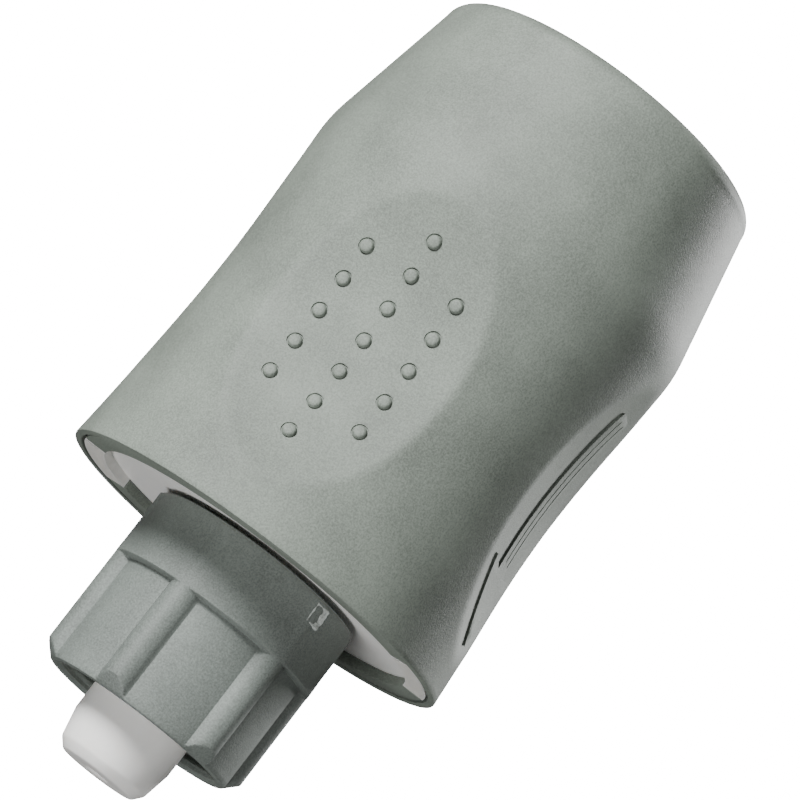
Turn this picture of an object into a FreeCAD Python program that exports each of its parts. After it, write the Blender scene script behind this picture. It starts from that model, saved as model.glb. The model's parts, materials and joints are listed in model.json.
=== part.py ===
"""Motorised actuator head for a heating valve, battery driven.

A waisted hand-grip housing carries a gearmotor that turns a lead screw. The screw drives a
plunger in and out of a neck, and a ribbed union nut on the neck clamps the head to a valve.

Frame: millimetres, +Z along the head's axis from the valve to the end cover. The origin is the
centre of the neck's seating face. The dotted grip pads face -Y and +Y, the arrow pads -X and +X.
Every function builds one kind of piece; main() writes each piece to parts/NODE.step.
"""

import FreeCAD, Part
import math
import os

# ---- driving dimensions, in millimetres and degrees ----
RIM_Z = 25.0                 # the housing's open end above the seating face
HOUSING_LENGTH = 86.8
RIM_R = 33.0
WAIST_R = 31.5
WAIST_ABOVE_RIM = 33.0
SHOULDER_R = 32.3
SHOULDER_ABOVE_RIM = 60.5
TOP_R = 27.2
TOP_EDGE_ROUND = 2.8
SHOULDER_ROUND = 22.0
WALL = 2.2

PAD_ABOVE_RIM = 32.0         # height of the middle of the four grip pads
DOT_PAD_DEPTH_R = 27.6       # distance from the axis to the deepest point of a dotted pad
DOT_PAD_SCOOP_R = 65.0       # radius of the hollow along the axis
ARROW_PAD_DEPTH_R = 28.8
ARROW_PAD_SCOOP_R = 91.0
PAD_EDGE_ROUND = 1.2
DOT_R = 1.12
DOT_HEIGHT = 0.6
DOT_ROOT = 1.2               # how far a dot's peg runs into the wall
DOT_PITCH_Z = 5.7
DOT_PITCH_X = 8.0
DOT_ROWS = (5, 7, 5)         # dots in each of the three columns
ARROW_HEIGHT = 0.5
ARROW_ROOT = 0.8             # how far an arrow runs into the wall
ARROW_TIP_BELOW_PAD = 23.2
ARROW_HEAD_LENGTH = 12.6
ARROW_HEAD_HALF = 8.4
ARROW_BARB = 0.8             # how far the barbs sweep back from the shaft
ARROW_SHAFT_HALF = 3.0
ARROW_TAIL_ABOVE_PAD = 18.3
ARROW_TAIL_ROUND = 0.9
ARROW_LINE_Y = 1.2           # the two fine lines along the shaft
ARROW_LINE_HALF = 0.2
ARROW_LINE_DEPTH = 0.25

LIP_BORE_R = 31.7            # bore of the rim that takes the base and its bezel ring
BEZEL_R = 31.25
BEZEL_BORE_R = 27.6
BEZEL_THICK = 1.6
RECESS = 1.8                 # base plate's depth inside the rim
BASE_THICK = 2.5
LUG_HALF_ANGLE = 18.0

THREAD_R = 14.19             # minor radius of an M30 x 1.5 internal thread
NUT_LENGTH = 29.2
NUT_MOUTH_Z = -3.2
NUT_TRAVEL = 9.0
NUT_RIB_COUNT = 6
NUT_CREST_R = 17.8
NUT_PANEL_R = 15.9
NUT_COLLAR_R = 17.45
NUT_COLLAR_LENGTH = 11.0
NUT_MOUTH_R = 15.6
NUT_MOUTH_BEVEL = 2.2
NUT_RIB_R = 2.6
NUT_PHASE = 23.2             # turns the ribs to where they rest
NECK_R = 12.4
NECK_SHOULDER_R = 11.4       # the part that goes through the base plate
NECK_FLANGE_R = 13.5
NECK_BORE_R = 8.48
SEAL_R = 0.82
SEAL_Z = 6.6
NECK_FLANGE_THICK = 2.5
CIRCLIP_GROOVE_R = 10.6
CIRCLIP_THICK = 1.0
PLUNGER_R = 8.4
PLUNGER_TIP_R = 6.2
PLUNGER_TIP_Z = -12.5
PLUNGER_TOP_Z = 15.0
PLUNGER_TRAVEL = 12.0
KEY_HALF = 1.5               # half the width of the keys that stop the plunger turning
KEY_HEIGHT = 1.1
SCREW_R = 3.0
SCREW_PITCH = 4.0

DRIVE_TEETH = 44
IDLER_TEETH = 32
IDLER_PINION_TEETH = 12
MOTOR_TEETH = 10
DRIVE_MODULE = 0.6
TRAIN_MODULE = 0.5
PRESSURE_ANGLE = 25.0
BACKLASH = 0.14
IDLER_2_PLACE = (16.8, 191.9)    # radius and azimuth of each axle round the head's axis
IDLER_1_PLACE = (16.5, 230.46)
MOTOR_PLACE = (12.5, 270.0)
AXLE_R = 1.0

GEARBOX_PLATE_Z = 50.0
GEARBOX_PLATE_THICK = 2.0
POST_AZIMUTHS = (45.0, 135.0, 315.0)
POST_PLACE_R = 25.0
MOTOR_R = 10.0
MOTOR_LENGTH = 25.0
CELL_R = 7.25
CELL_LENGTH = 50.5
CELL_X = 9.5
CELL_Y = 9.5
CELL_Z = 56.0
CRADLE_FLOOR = 1.5
CONTACT_THICK = 0.25
SPRING_COIL_R = 4.3
SPRING_TURNS = 3
COVER_R = 23.2
COVER_THICK = 2.2
LEDGE_R = 21.2
SKIRT_LENGTH = 2.9
BUTTON_R = 5.5
BUTTON_GAP = 0.7             # between the button's stem and the switch; the button moves 0.6
SWITCH_TOP_Z = 107.0
BOARD_TOP_Z = 103.0
FIT = 0.05                   # radial clearance of a running fit

# ---- sizes that follow from them ----
TOP_Z = RIM_Z + HOUSING_LENGTH
PAD_Z = RIM_Z + PAD_ABOVE_RIM
BASE_Z = RIM_Z + RECESS
BASE_TOP_Z = BASE_Z + BASE_THICK
PLATE_TOP_Z = GEARBOX_PLATE_Z + GEARBOX_PLATE_THICK
COVER_Z = TOP_Z - COVER_THICK
NUT_TOP_Z = NUT_MOUTH_Z + NUT_LENGTH
CONTACT_Z = PLATE_TOP_Z + CRADLE_FLOOR
MOTOR_TOP_Z = PLATE_TOP_Z + MOTOR_LENGTH

Z_AXIS = FreeCAD.Vector(0, 0, 1)
ORIGIN = FreeCAD.Vector(0, 0, 0)


# ---- plain shapes ----
def vec(x, y, z):
    return FreeCAD.Vector(x, y, z)


def place(polar):
    """x and y of a (radius, azimuth) pair."""
    radius, azimuth = polar
    return radius * math.cos(math.radians(azimuth)), radius * math.sin(math.radians(azimuth))


def rod(radius, low, high, x=0.0, y=0.0):
    return Part.makeCylinder(radius, high - low, vec(x, y, low), Z_AXIS)


def cone(low_radius, high_radius, low, high, x=0.0, y=0.0):
    return Part.makeCone(low_radius, high_radius, high - low, vec(x, y, low), Z_AXIS)


def tube(radius, bore, low, high, x=0.0, y=0.0):
    return rod(radius, low, high, x, y).cut(rod(bore, low - 1, high + 1, x, y))


def block(x0, x1, y0, y1, z0, z1):
    return Part.makeBox(x1 - x0, y1 - y0, z1 - z0, vec(x0, y0, z0))


def turned(edges):
    """A solid of revolution about Z from the edges of a closed outline in the XZ plane."""
    return Part.Face(Part.Wire(edges)).revolve(ORIGIN, Z_AXIS, 360)


def lines(points):
    """Straight edges through (radius, z) points."""
    corners = [vec(r, 0, z) for r, z in points]
    return [Part.makeLine(a, b) for a, b in zip(corners, corners[1:])]


def sector(radius, low, high, middle, half_angle):
    """A pie slice about the axis, from the axis out to the radius."""
    start = math.radians(middle - half_angle)
    middle_turn = math.radians(middle)
    end = math.radians(middle + half_angle)
    rim = [vec(radius * math.cos(a), radius * math.sin(a), low) for a in (start, middle_turn, end)]
    axis = vec(0, 0, low)
    arc = Part.Arc(*rim).toShape()
    wire = Part.Wire([Part.makeLine(axis, rim[0]), arc, Part.makeLine(rim[2], axis)])
    return Part.Face(wire).extrude(vec(0, 0, high - low))


def spun(shape, angle):
    """A copy of the shape, turned about the head's axis."""
    copy = shape.copy()
    copy.rotate(ORIGIN, Z_AXIS, angle)
    return copy


def round_edges(shape, radius, chosen):
    """Fillets the edges that the test picks."""
    return shape.makeFillet(radius, [e for e in shape.Edges if chosen(e)])


def joined(shapes):
    """One solid from overlapping shapes."""
    return shapes[0].fuse(shapes[1:]).removeSplitter()


# ---- housing ----
def body_of_revolution(inset):
    """The housing's round body, with its wall moved inwards by inset."""
    top = TOP_Z - inset
    shoulder = RIM_Z + SHOULDER_ABOVE_RIM
    rim = vec(RIM_R - inset, 0, RIM_Z)
    waist = vec(WAIST_R - inset, 0, RIM_Z + WAIST_ABOVE_RIM)
    bulge = vec(SHOULDER_R - inset, 0, shoulder)
    crown = vec(TOP_R - inset, 0, top)
    side = Part.Arc(rim, waist, bulge).toShape()
    edges = [
        Part.makeLine(vec(0, 0, RIM_Z), rim),
        side,
        Part.makeLine(bulge, crown),
        Part.makeLine(crown, vec(0, 0, top)),
        Part.makeLine(vec(0, 0, top), vec(0, 0, RIM_Z)),
    ]
    body = turned(edges)
    body = round_edges(body, SHOULDER_ROUND, lambda e: is_ring(e, SHOULDER_R - inset, shoulder))
    return round_edges(body, TOP_EDGE_ROUND, lambda e: is_ring(e, TOP_R - inset, top))


def is_ring(edge, radius, z):
    """True for a circle of that radius about the axis at that height."""
    if not isinstance(edge.Curve, Part.Circle):
        return False
    centre = edge.Curve.Center
    on_axis = math.hypot(centre.x, centre.y) < 0.01
    return on_axis and abs(centre.z - z) < 0.01 and abs(edge.Curve.Radius - radius) < 0.01


def scoop(depth_r, scoop_r, azimuth, inset):
    """The cylinder that hollows one pad: its axis is square to the head's, level with the pad."""
    radius = scoop_r + inset
    centre_r = depth_r + scoop_r
    cutter = Part.makeCylinder(radius, 4 * RIM_R, vec(centre_r, -2 * RIM_R, PAD_Z), vec(0, 1, 0))
    return spun(cutter, azimuth)


def scoops(inset):
    dotted = [scoop(DOT_PAD_DEPTH_R, DOT_PAD_SCOOP_R, a, inset) for a in (-90, 90)]
    arrowed = [scoop(ARROW_PAD_DEPTH_R, ARROW_PAD_SCOOP_R, a, inset) for a in (0, 180)]
    return dotted + arrowed


def pad_surface_r(depth_r, scoop_r, above):
    """Distance from the axis to a pad's surface, at a height above the pad's middle."""
    return depth_r + scoop_r - math.sqrt(scoop_r ** 2 - above ** 2)


def dots(azimuth):
    """The raised dots of one pad, in three columns."""
    made = []
    for column, count in enumerate(DOT_ROWS):
        across = (column - 1) * DOT_PITCH_X
        for row in range(count):
            above = (row - (count - 1) / 2) * DOT_PITCH_Z
            surface = pad_surface_r(DOT_PAD_DEPTH_R, DOT_PAD_SCOOP_R, above)
            foot = vec(surface - DOT_ROOT, across, PAD_Z + above)
            peg = Part.makeCylinder(DOT_R, DOT_ROOT + DOT_HEIGHT, foot, vec(1, 0, 0))
            top = surface + DOT_HEIGHT
            peg = round_edges(peg, 0.5 * DOT_HEIGHT, lambda e, top=top: e.BoundBox.XMin > top - 0.01)
            made.append(spun(peg, azimuth))
    return made


def is_tail_corner(edge, tail):
    """True for an edge that runs outwards at the arrow's tail."""
    return edge.BoundBox.ZMin > tail - 0.01 and edge.BoundBox.XLength > 1


def arrow(azimuth):
    """One raised arrow that points to the valve, with two fine lines sunk along its shaft."""
    tip = PAD_Z - ARROW_TIP_BELOW_PAD
    barb = tip + ARROW_HEAD_LENGTH
    neck = barb - ARROW_BARB
    tail = PAD_Z + ARROW_TAIL_ABOVE_PAD
    right = [(0, tip), (ARROW_HEAD_HALF, barb), (ARROW_SHAFT_HALF, neck), (ARROW_SHAFT_HALF, tail)]
    corners = right + [(-y, z) for y, z in reversed(right[1:])]
    outline = Part.makePolygon([vec(0, y, z) for y, z in corners + corners[:1]])
    prism = Part.Face(outline).extrude(vec(2 * RIM_R, 0, 0))
    prism = round_edges(prism, ARROW_TAIL_ROUND, lambda e: is_tail_corner(e, tail))
    raised = prism.common(scoop(ARROW_PAD_DEPTH_R - ARROW_ROOT, ARROW_PAD_SCOOP_R, 0, 0))
    raised = raised.cut(scoop(ARROW_PAD_DEPTH_R + ARROW_HEIGHT, ARROW_PAD_SCOOP_R, 0, 0))
    line_floor = scoop(ARROW_PAD_DEPTH_R + ARROW_HEIGHT - ARROW_LINE_DEPTH, ARROW_PAD_SCOOP_R, 0, 0)
    for y in (-ARROW_LINE_Y, ARROW_LINE_Y):
        line = block(0, 2 * RIM_R, y - ARROW_LINE_HALF, y + ARROW_LINE_HALF, barb + 1.5, tail - 1.5)
        raised = raised.cut(line.common(line_floor))
    return spun(raised, azimuth)


def outer_housing():
    solid = body_of_revolution(0.0)
    for cutter in scoops(0.0):
        solid = solid.cut(cutter)
    plain_edges = body_of_revolution(0.0).Edges
    kept = [e.BoundBox.DiagonalLength for e in plain_edges]
    solid = round_edges(solid, PAD_EDGE_ROUND, lambda e: is_pad_edge(e, kept))
    hollow = body_of_revolution(WALL)
    for cutter in scoops(WALL):
        hollow = hollow.cut(cutter)
    hollow = hollow.common(rod(2 * RIM_R, BASE_TOP_Z, TOP_Z - WALL - 2.0))
    shell = solid.cut(hollow)
    shell = shell.cut(rod(LIP_BORE_R, RIM_Z - 1, BASE_TOP_Z + 0.1))
    shell = shell.cut(rod(LEDGE_R, TOP_Z - 8, TOP_Z + 1))
    shell = shell.cut(rod(COVER_R + 0.2, COVER_Z, TOP_Z + 1))
    shell = shell.fuse(dots(-90) + dots(90) + [arrow(0), arrow(180)])
    return shell.removeSplitter()


def is_pad_edge(edge, plain):
    """True for the curved border of a scooped pad: it is on no plane square to the axis."""
    box = edge.BoundBox
    old = any(abs(box.DiagonalLength - d) < 0.01 for d in plain)
    return box.ZLength > 5 and box.ZMin > RIM_Z + 1 and not old


# ---- base, bezel and neck ----
def bezel_ring():
    """The ring that closes the rim on its two plain sides, between the base's lugs."""
    ring = tube(BEZEL_R, BEZEL_BORE_R, BASE_Z - BEZEL_THICK, BASE_Z)
    for azimuth in (0, 180):
        ring = ring.cut(sector(2 * RIM_R, 0, TOP_Z, azimuth, LUG_HALF_ANGLE + 0.6))
    return ring


def base_plate():
    """The white plate that closes the housing and carries the neck, posts and axles."""
    plate = rod(BEZEL_R, BASE_Z, BASE_TOP_Z)
    parts = [plate]
    for azimuth in (0, 180):
        lug = tube(BEZEL_R, BEZEL_BORE_R, BASE_Z - BEZEL_THICK, BASE_TOP_Z)
        parts.append(lug.common(sector(2 * RIM_R, 0, TOP_Z, azimuth, LUG_HALF_ANGLE)))
    for azimuth in POST_AZIMUTHS:
        x, y = place((POST_PLACE_R, azimuth))
        parts.append(rod(2.6, BASE_TOP_Z - 1, GEARBOX_PLATE_Z, x, y))
    for polar in (IDLER_2_PLACE, IDLER_1_PLACE):
        x, y = place(polar)
        parts.append(rod(2.0, BASE_TOP_Z - 1, BASE_TOP_Z + 3.0, x, y))
    solid = joined(parts)
    solid = solid.cut(rod(NECK_SHOULDER_R + FIT, BASE_Z - 1, BASE_TOP_Z + 1))
    for azimuth in POST_AZIMUTHS:
        x, y = place((POST_PLACE_R, azimuth))
        solid = solid.cut(rod(1.0, GEARBOX_PLATE_Z - 10, GEARBOX_PLATE_Z + 1, x, y))
    for polar in (IDLER_2_PLACE, IDLER_1_PLACE):
        x, y = place(polar)
        solid = solid.cut(rod(AXLE_R, BASE_TOP_Z - 1, BASE_TOP_Z + 4, x, y))
    return solid


def valve_neck():
    """The tube that the nut rides on. Its flange stops the nut and its end face meets the valve."""
    top = BASE_TOP_Z + 2.7
    neck = joined([
        rod(NECK_FLANGE_R, 0, NECK_FLANGE_THICK),
        rod(NECK_R, NECK_FLANGE_THICK - 1, BASE_Z),
        rod(NECK_SHOULDER_R, BASE_Z - 1, top),
    ])
    neck = neck.cut(rod(NECK_BORE_R, -1, top + 1))
    neck = neck.cut(tube(NECK_R, CIRCLIP_GROOVE_R, BASE_TOP_Z, BASE_TOP_Z + CIRCLIP_THICK + 0.1))
    neck = neck.cut(rod(PLUNGER_R + 2 * SEAL_R + 0.08, SEAL_Z - SEAL_R - 0.08, SEAL_Z + SEAL_R + 0.08))
    for turn in (0, 180):
        half = KEY_HALF + FIT
        slot = block(NECK_BORE_R - 1, NECK_BORE_R + KEY_HEIGHT + FIT, -half, half, 9.0, top + 1)
        neck = neck.cut(spun(slot, turn))
    return neck


def neck_circlip():
    """The open spring ring that holds the neck in the base."""
    low = BASE_TOP_Z + FIT
    ring = tube(CIRCLIP_GROOVE_R + 2.4, CIRCLIP_GROOVE_R + FIT, low, low + CIRCLIP_THICK)
    return ring.cut(sector(20, BASE_TOP_Z, BASE_TOP_Z + 2, 20, 14))


def ring_seal(major_r, minor_r, z):
    return Part.makeTorus(major_r, minor_r, vec(0, 0, z), Z_AXIS)


# ---- union nut ----
def nut_rib(azimuth):
    """One round-backed rib, the nut's full length."""
    bar = rod(NUT_RIB_R, NUT_MOUTH_Z, NUT_TOP_Z, NUT_CREST_R - NUT_RIB_R, 0)
    return spun(bar, azimuth)


def coupling_nut():
    """The union nut: a plain collar, then recessed panels between ribs, cut by a cone at the mouth."""
    core = rod(NUT_PANEL_R, NUT_MOUTH_Z, NUT_TOP_Z)
    collar = rod(NUT_COLLAR_R, NUT_TOP_Z - NUT_COLLAR_LENGTH, NUT_TOP_Z)
    ribs = [nut_rib(NUT_PHASE + i * 360 / NUT_RIB_COUNT) for i in range(NUT_RIB_COUNT)]
    envelope = turned(lines([
        (0, NUT_MOUTH_Z), (NUT_MOUTH_R, NUT_MOUTH_Z),
        (NUT_CREST_R + 0.1, NUT_MOUTH_Z + NUT_MOUTH_BEVEL), (NUT_CREST_R + 0.1, NUT_TOP_Z - 0.5),
        (NUT_CREST_R - 0.6, NUT_TOP_Z), (0, NUT_TOP_Z), (0, NUT_MOUTH_Z),
    ]))
    body = joined([core, collar] + ribs).common(envelope)
    bore = joined([
        cone(THREAD_R + 0.6, THREAD_R, NUT_MOUTH_Z - 0.01, NUT_MOUTH_Z + 0.6),
        rod(THREAD_R, NUT_MOUTH_Z - 1, 8.5),
        rod(THREAD_R + 0.4, 8.0, lip_z()),
        rod(NECK_R + 0.3, lip_z() - 1, NUT_TOP_Z + 1),
    ])
    return body.cut(bore)


def lip_z():
    """Underside of the nut's inner lip, which lands on the washer and the neck's flange."""
    return NECK_FLANGE_THICK + 1.0 + NUT_TRAVEL


def nut_washer():
    """The slip ring under the nut's lip. It slides with the nut and doesn't turn."""
    return tube(13.9, NECK_R + 0.15, lip_z() - 0.95, lip_z() - 0.05)


# ---- plunger and screw ----
def plunger():
    """The white piston: hollow for the screw, with two keys that stop it turning."""
    body = turned(lines([
        (0, PLUNGER_TIP_Z), (PLUNGER_TIP_R, PLUNGER_TIP_Z), (PLUNGER_R - 0.9, PLUNGER_TIP_Z + 1.5),
        (PLUNGER_R, PLUNGER_TIP_Z + 6.0), (PLUNGER_R, PLUNGER_TOP_Z), (0, PLUNGER_TOP_Z), (0, PLUNGER_TIP_Z),
    ]))
    key = block(5.0, NECK_BORE_R + KEY_HEIGHT, -KEY_HALF, KEY_HALF, 10.0, PLUNGER_TOP_Z)
    keys = [spun(key, turn) for turn in (0, 180)]
    body = joined([body] + keys)
    body = body.cut(rod(SCREW_R + FIT, -6.5, PLUNGER_TOP_Z + 1))
    return body.cut(rod(2.0, PLUNGER_TIP_Z - 1, PLUNGER_TIP_Z + 0.8))


def lead_screw():
    """Steel screw with its thread drawn as turned grooves, a collar and a journal at the top."""
    low = 6.5
    body = joined([
        cone(SCREW_R - 0.6, SCREW_R, low, low + 0.6),
        rod(SCREW_R, low + 0.6, 33.0),
        rod(2.5, 32.5, GEARBOX_PLATE_Z + 1.5),
        rod(4.4, 40.0, 41.0),
    ])
    grooves = []
    for i in range(6):
        z = low + 2.5 + i * SCREW_PITCH
        grooves.append(tube(SCREW_R + 1, SCREW_R - 0.5, z, z + 1.6))
    return body.cut(Part.makeCompound(grooves))


# ---- gears ----
def involute(angle):
    return math.tan(angle) - angle


def gear_outline(module, teeth, phase):
    """Closed outline of a spur gear with stub involute teeth, one tooth centred on the phase angle."""
    pressure = math.radians(PRESSURE_ANGLE)
    pitch_r = module * teeth / 2
    base_r = pitch_r * math.cos(pressure)
    tip_r = pitch_r + 0.8 * module
    root_r = pitch_r - 1.05 * module
    half_at_pitch = math.pi / (2 * teeth) - BACKLASH / (4 * pitch_r)
    radii = [max(base_r, root_r), pitch_r - 0.35 * module, pitch_r, pitch_r + 0.4 * module, tip_r]
    radii = [r for r in radii if r >= max(base_r, root_r)]
    halves = [half_at_pitch + involute(pressure) - involute(math.acos(min(1.0, base_r / r))) for r in radii]
    flank = list(zip(radii, halves))
    if root_r < base_r:
        flank.insert(0, (root_r, halves[0]))
    corners = []
    for i in range(teeth):
        centre = math.radians(phase) + i * 2 * math.pi / teeth
        for r, half in flank:
            corners.append(vec(r * math.cos(centre - half), r * math.sin(centre - half), 0))
        for r, half in reversed(flank):
            corners.append(vec(r * math.cos(centre + half), r * math.sin(centre + half), 0))
    return Part.makePolygon(corners + corners[:1])


def spur(module, teeth, phase, low, high, polar):
    x, y = place(polar)
    gear = Part.Face(gear_outline(module, teeth, phase)).extrude(vec(0, 0, high - low))
    gear.translate(vec(x, y, low))
    return gear


def bearing_of(from_polar, to_polar):
    """Direction, in degrees, from one axle to another."""
    x0, y0 = place(from_polar)
    x1, y1 = place(to_polar)
    return math.degrees(math.atan2(y1 - y0, x1 - x0))


def meshing_phase(direction, teeth):
    """Phase of a gear whose gap must face back along the direction to its driver."""
    return direction + 180 + 180 / teeth


SCREW_PLACE = (0.0, 0.0)
DRIVE_TO_IDLER_2 = bearing_of(SCREW_PLACE, IDLER_2_PLACE)
IDLER_2_TO_1 = bearing_of(IDLER_2_PLACE, IDLER_1_PLACE)
IDLER_1_TO_MOTOR = bearing_of(IDLER_1_PLACE, MOTOR_PLACE)


def drive_gear():
    gear = spur(DRIVE_MODULE, DRIVE_TEETH, DRIVE_TO_IDLER_2, 33.5, 38.5, SCREW_PLACE)
    gear = gear.cut(tube(11.2, 6.2, 37.0, 39.0)).cut(tube(11.2, 6.2, 33.0, 35.0))
    gear = joined([gear, rod(5.0, 33.5, 40.0)])
    return gear.cut(rod(2.5, 30, 45))


def compound_gear(polar, small_module, small_z, large_z, small_phase, large_phase, hub_z):
    """A large and a small gear in one moulding, on one axle."""
    x, y = place(polar)
    small = spur(small_module, IDLER_PINION_TEETH, small_phase, small_z[0], small_z[1], polar)
    large = spur(TRAIN_MODULE, IDLER_TEETH, large_phase, large_z[0], large_z[1], polar)
    hub = rod(2.2, hub_z[0], hub_z[1], x, y)
    return joined([large, small, hub]).cut(rod(AXLE_R + FIT, 0, TOP_Z, x, y))


def idler_gear_2():
    small_phase = meshing_phase(DRIVE_TO_IDLER_2, IDLER_PINION_TEETH)
    hub_z = (BASE_TOP_Z + 3.2, 44.0)
    return compound_gear(
        IDLER_2_PLACE, DRIVE_MODULE, (33.2, 39.5), (39.5, 43.5), small_phase, IDLER_2_TO_1, hub_z)


def idler_gear_1():
    small_phase = meshing_phase(IDLER_2_TO_1, IDLER_PINION_TEETH)
    hub_z = (BASE_TOP_Z + 3.2, 49.7)
    return compound_gear(
        IDLER_1_PLACE, TRAIN_MODULE, (39.2, 44.7), (44.7, 48.2), small_phase, IDLER_1_TO_MOTOR, hub_z)


def idler_axle(polar):
    x, y = place(polar)
    return rod(AXLE_R, BASE_TOP_Z - 1, PLATE_TOP_Z - 0.3, x, y)


def motor_pinion():
    phase = meshing_phase(IDLER_1_TO_MOTOR, MOTOR_TEETH)
    x, y = place(MOTOR_PLACE)
    return spur(TRAIN_MODULE, MOTOR_TEETH, phase, 44.4, 49.0, MOTOR_PLACE).cut(rod(1.0, 0, TOP_Z, x, y))


# ---- gearbox plate and bearings ----
def gearbox_plate():
    """The plate over the gears. Its flats clear the pads, and it locates the motor and axles."""
    plate = rod(28.0, GEARBOX_PLATE_Z, PLATE_TOP_Z)
    plate = plate.common(block(-26.0, 26.0, -24.9, 24.9, 0, TOP_Z))
    mx, my = place(MOTOR_PLACE)
    holes = [rod(3.6, 0, TOP_Z, mx, my), rod(4.05, 0, TOP_Z)]
    for polar in (IDLER_2_PLACE, IDLER_1_PLACE):
        x, y = place(polar)
        holes.append(rod(AXLE_R, 0, TOP_Z, x, y))
    for azimuth in POST_AZIMUTHS:
        x, y = place((POST_PLACE_R, azimuth))
        holes.append(rod(1.3, 0, TOP_Z, x, y))
    for side in (-1, 1):
        holes.append(rod(1.1, 0, TOP_Z, mx + side * 6.5, my))
    return plate.cut(Part.makeCompound(holes))


def screw_bearing():
    """Flanged bronze bush that takes the screw's thrust in the gearbox plate."""
    flange = rod(5.2, GEARBOX_PLATE_Z - 1.5, GEARBOX_PLATE_Z)
    bush = joined([rod(4.0, GEARBOX_PLATE_Z - 0.5, PLATE_TOP_Z), flange])
    return bush.cut(rod(2.5 + FIT, 0, TOP_Z))


def pan_screw(x, y, seat, length, radius):
    """A pan-head screw with a cross recess, head up."""
    head = rod(radius * 1.9, seat, seat + radius * 1.2, x, y)
    head = round_edges(head, radius * 0.5, lambda e: e.BoundBox.ZMin > seat + radius * 1.1)
    shank = rod(radius * 0.95, seat - length, seat + 0.1, x, y)
    arm, half = radius * 1.1, radius * 0.22
    recess = Part.makeCompound([
        block(x - arm, x + arm, y - half, y + half, seat + radius * 0.6, seat + 3),
        block(x - half, x + half, y - arm, y + arm, seat + radius * 0.6, seat + 3),
    ])
    return joined([head, shank]).cut(recess)


def gearbox_screws():
    spots = [place((POST_PLACE_R, a)) for a in POST_AZIMUTHS]
    return Part.makeCompound([pan_screw(x, y, PLATE_TOP_Z, 8.0, 1.05) for x, y in spots])


# ---- motor ----
def motor_can():
    x, y = place(MOTOR_PLACE)
    can = rod(MOTOR_R, PLATE_TOP_Z, MOTOR_TOP_Z - 2.5, x, y)
    can = round_edges(can, 0.8, lambda e: e.BoundBox.ZMax < PLATE_TOP_Z + 0.01 and e.BoundBox.XLength > 1)
    can = can.fuse(rod(3.5, PLATE_TOP_Z - 1.5, PLATE_TOP_Z + 0.5, x, y)).removeSplitter()
    can = can.cut(rod(MOTOR_R - 0.8, PLATE_TOP_Z + 0.8, MOTOR_TOP_Z, x, y))
    return can.cut(rod(2.4, PLATE_TOP_Z - 2, PLATE_TOP_Z + 2, x, y))


def motor_bush():
    x, y = place(MOTOR_PLACE)
    return tube(2.4, 1.0 + FIT, PLATE_TOP_Z - 1.5, PLATE_TOP_Z + 0.8, x, y)


def motor_magnets():
    """Two ferrite arcs bonded inside the can."""
    x, y = place(MOTOR_PLACE)
    ring = tube(MOTOR_R - 0.85, MOTOR_R - 2.5, PLATE_TOP_Z + 3, MOTOR_TOP_Z - 5, x, y)
    gap = block(x - 3, x + 3, y - 20, y + 20, 0, TOP_Z)
    return ring.cut(gap)


def motor_end_bell():
    x, y = place(MOTOR_PLACE)
    bell = rod(MOTOR_R - 0.85, MOTOR_TOP_Z - 4.0, MOTOR_TOP_Z - 2.5, x, y)
    cap = rod(MOTOR_R - 0.1, MOTOR_TOP_Z - 2.5, MOTOR_TOP_Z, x, y)
    bell = joined([bell, cap, rod(2.6, MOTOR_TOP_Z - 1, MOTOR_TOP_Z + 1, x, y)])
    bell = bell.cut(rod(1.0 + FIT, 0, TOP_Z, x, y))
    for side in (-1, 1):
        bell = bell.cut(block(x + side * 6 - 1.3, x + side * 6 + 1.3, y - 0.35, y + 0.35, 0, TOP_Z))
    return bell


def motor_terminals():
    """Two blades that rise through the end bell and are soldered to the board."""
    x, y = place(MOTOR_PLACE)
    made = []
    for side in (-1, 1):
        left, right, top = x + side * 6 - 1.2, x + side * 6 + 1.2, MOTOR_TOP_Z + 2.0
        foot = block(left, right, y - 0.3, y + 0.3, MOTOR_TOP_Z - 4, top)
        arm = block(left, right, y - 0.3, -1.2, top - 0.5, top)
        made.append(joined([foot, arm]))
    return Part.makeCompound(made)


def motor_shaft():
    x, y = place(MOTOR_PLACE)
    return rod(1.0, 43.9, MOTOR_TOP_Z + 0.8, x, y)


def motor_armature():
    """Three-pole laminated core with its commutator, fixed on the shaft."""
    x, y = place(MOTOR_PLACE)
    low, high = PLATE_TOP_Z + 4, MOTOR_TOP_Z - 6.5
    core = rod(6.9, low, high, x, y)
    for i in range(3):
        slot = block(3.0, 8.0, -0.8, 0.8, low - 1, high + 1)
        pocket = rod(1.7, low - 1, high + 1, 4.6, 0)
        cutter = joined([slot, pocket])
        cutter.rotate(ORIGIN, Z_AXIS, 30 + i * 120)
        cutter.translate(vec(x, y, 0))
        core = core.cut(cutter)
    commutator = rod(2.2, high - 0.5, MOTOR_TOP_Z - 4.3, x, y)
    return joined([core, commutator]).cut(rod(1.0, 0, TOP_Z, x, y))


# ---- cells and their holder ----
def cell(side):
    """A cylindrical cell with its raised positive end; one stands each way up."""
    can = rod(CELL_R, CELL_Z, CELL_Z + CELL_LENGTH - 1.0, side * CELL_X, CELL_Y)
    can = round_edges(can, 0.6, lambda e: e.BoundBox.XLength > 1 and e.BoundBox.ZLength < 0.01)
    knob = rod(2.7, CELL_Z + CELL_LENGTH - 1.5, CELL_Z + CELL_LENGTH, side * CELL_X, CELL_Y)
    made = can.fuse(knob)
    if side > 0:
        middle = vec(side * CELL_X, CELL_Y, CELL_Z + CELL_LENGTH / 2)
        made.rotate(middle, vec(1, 0, 0), 180)
    return made


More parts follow.
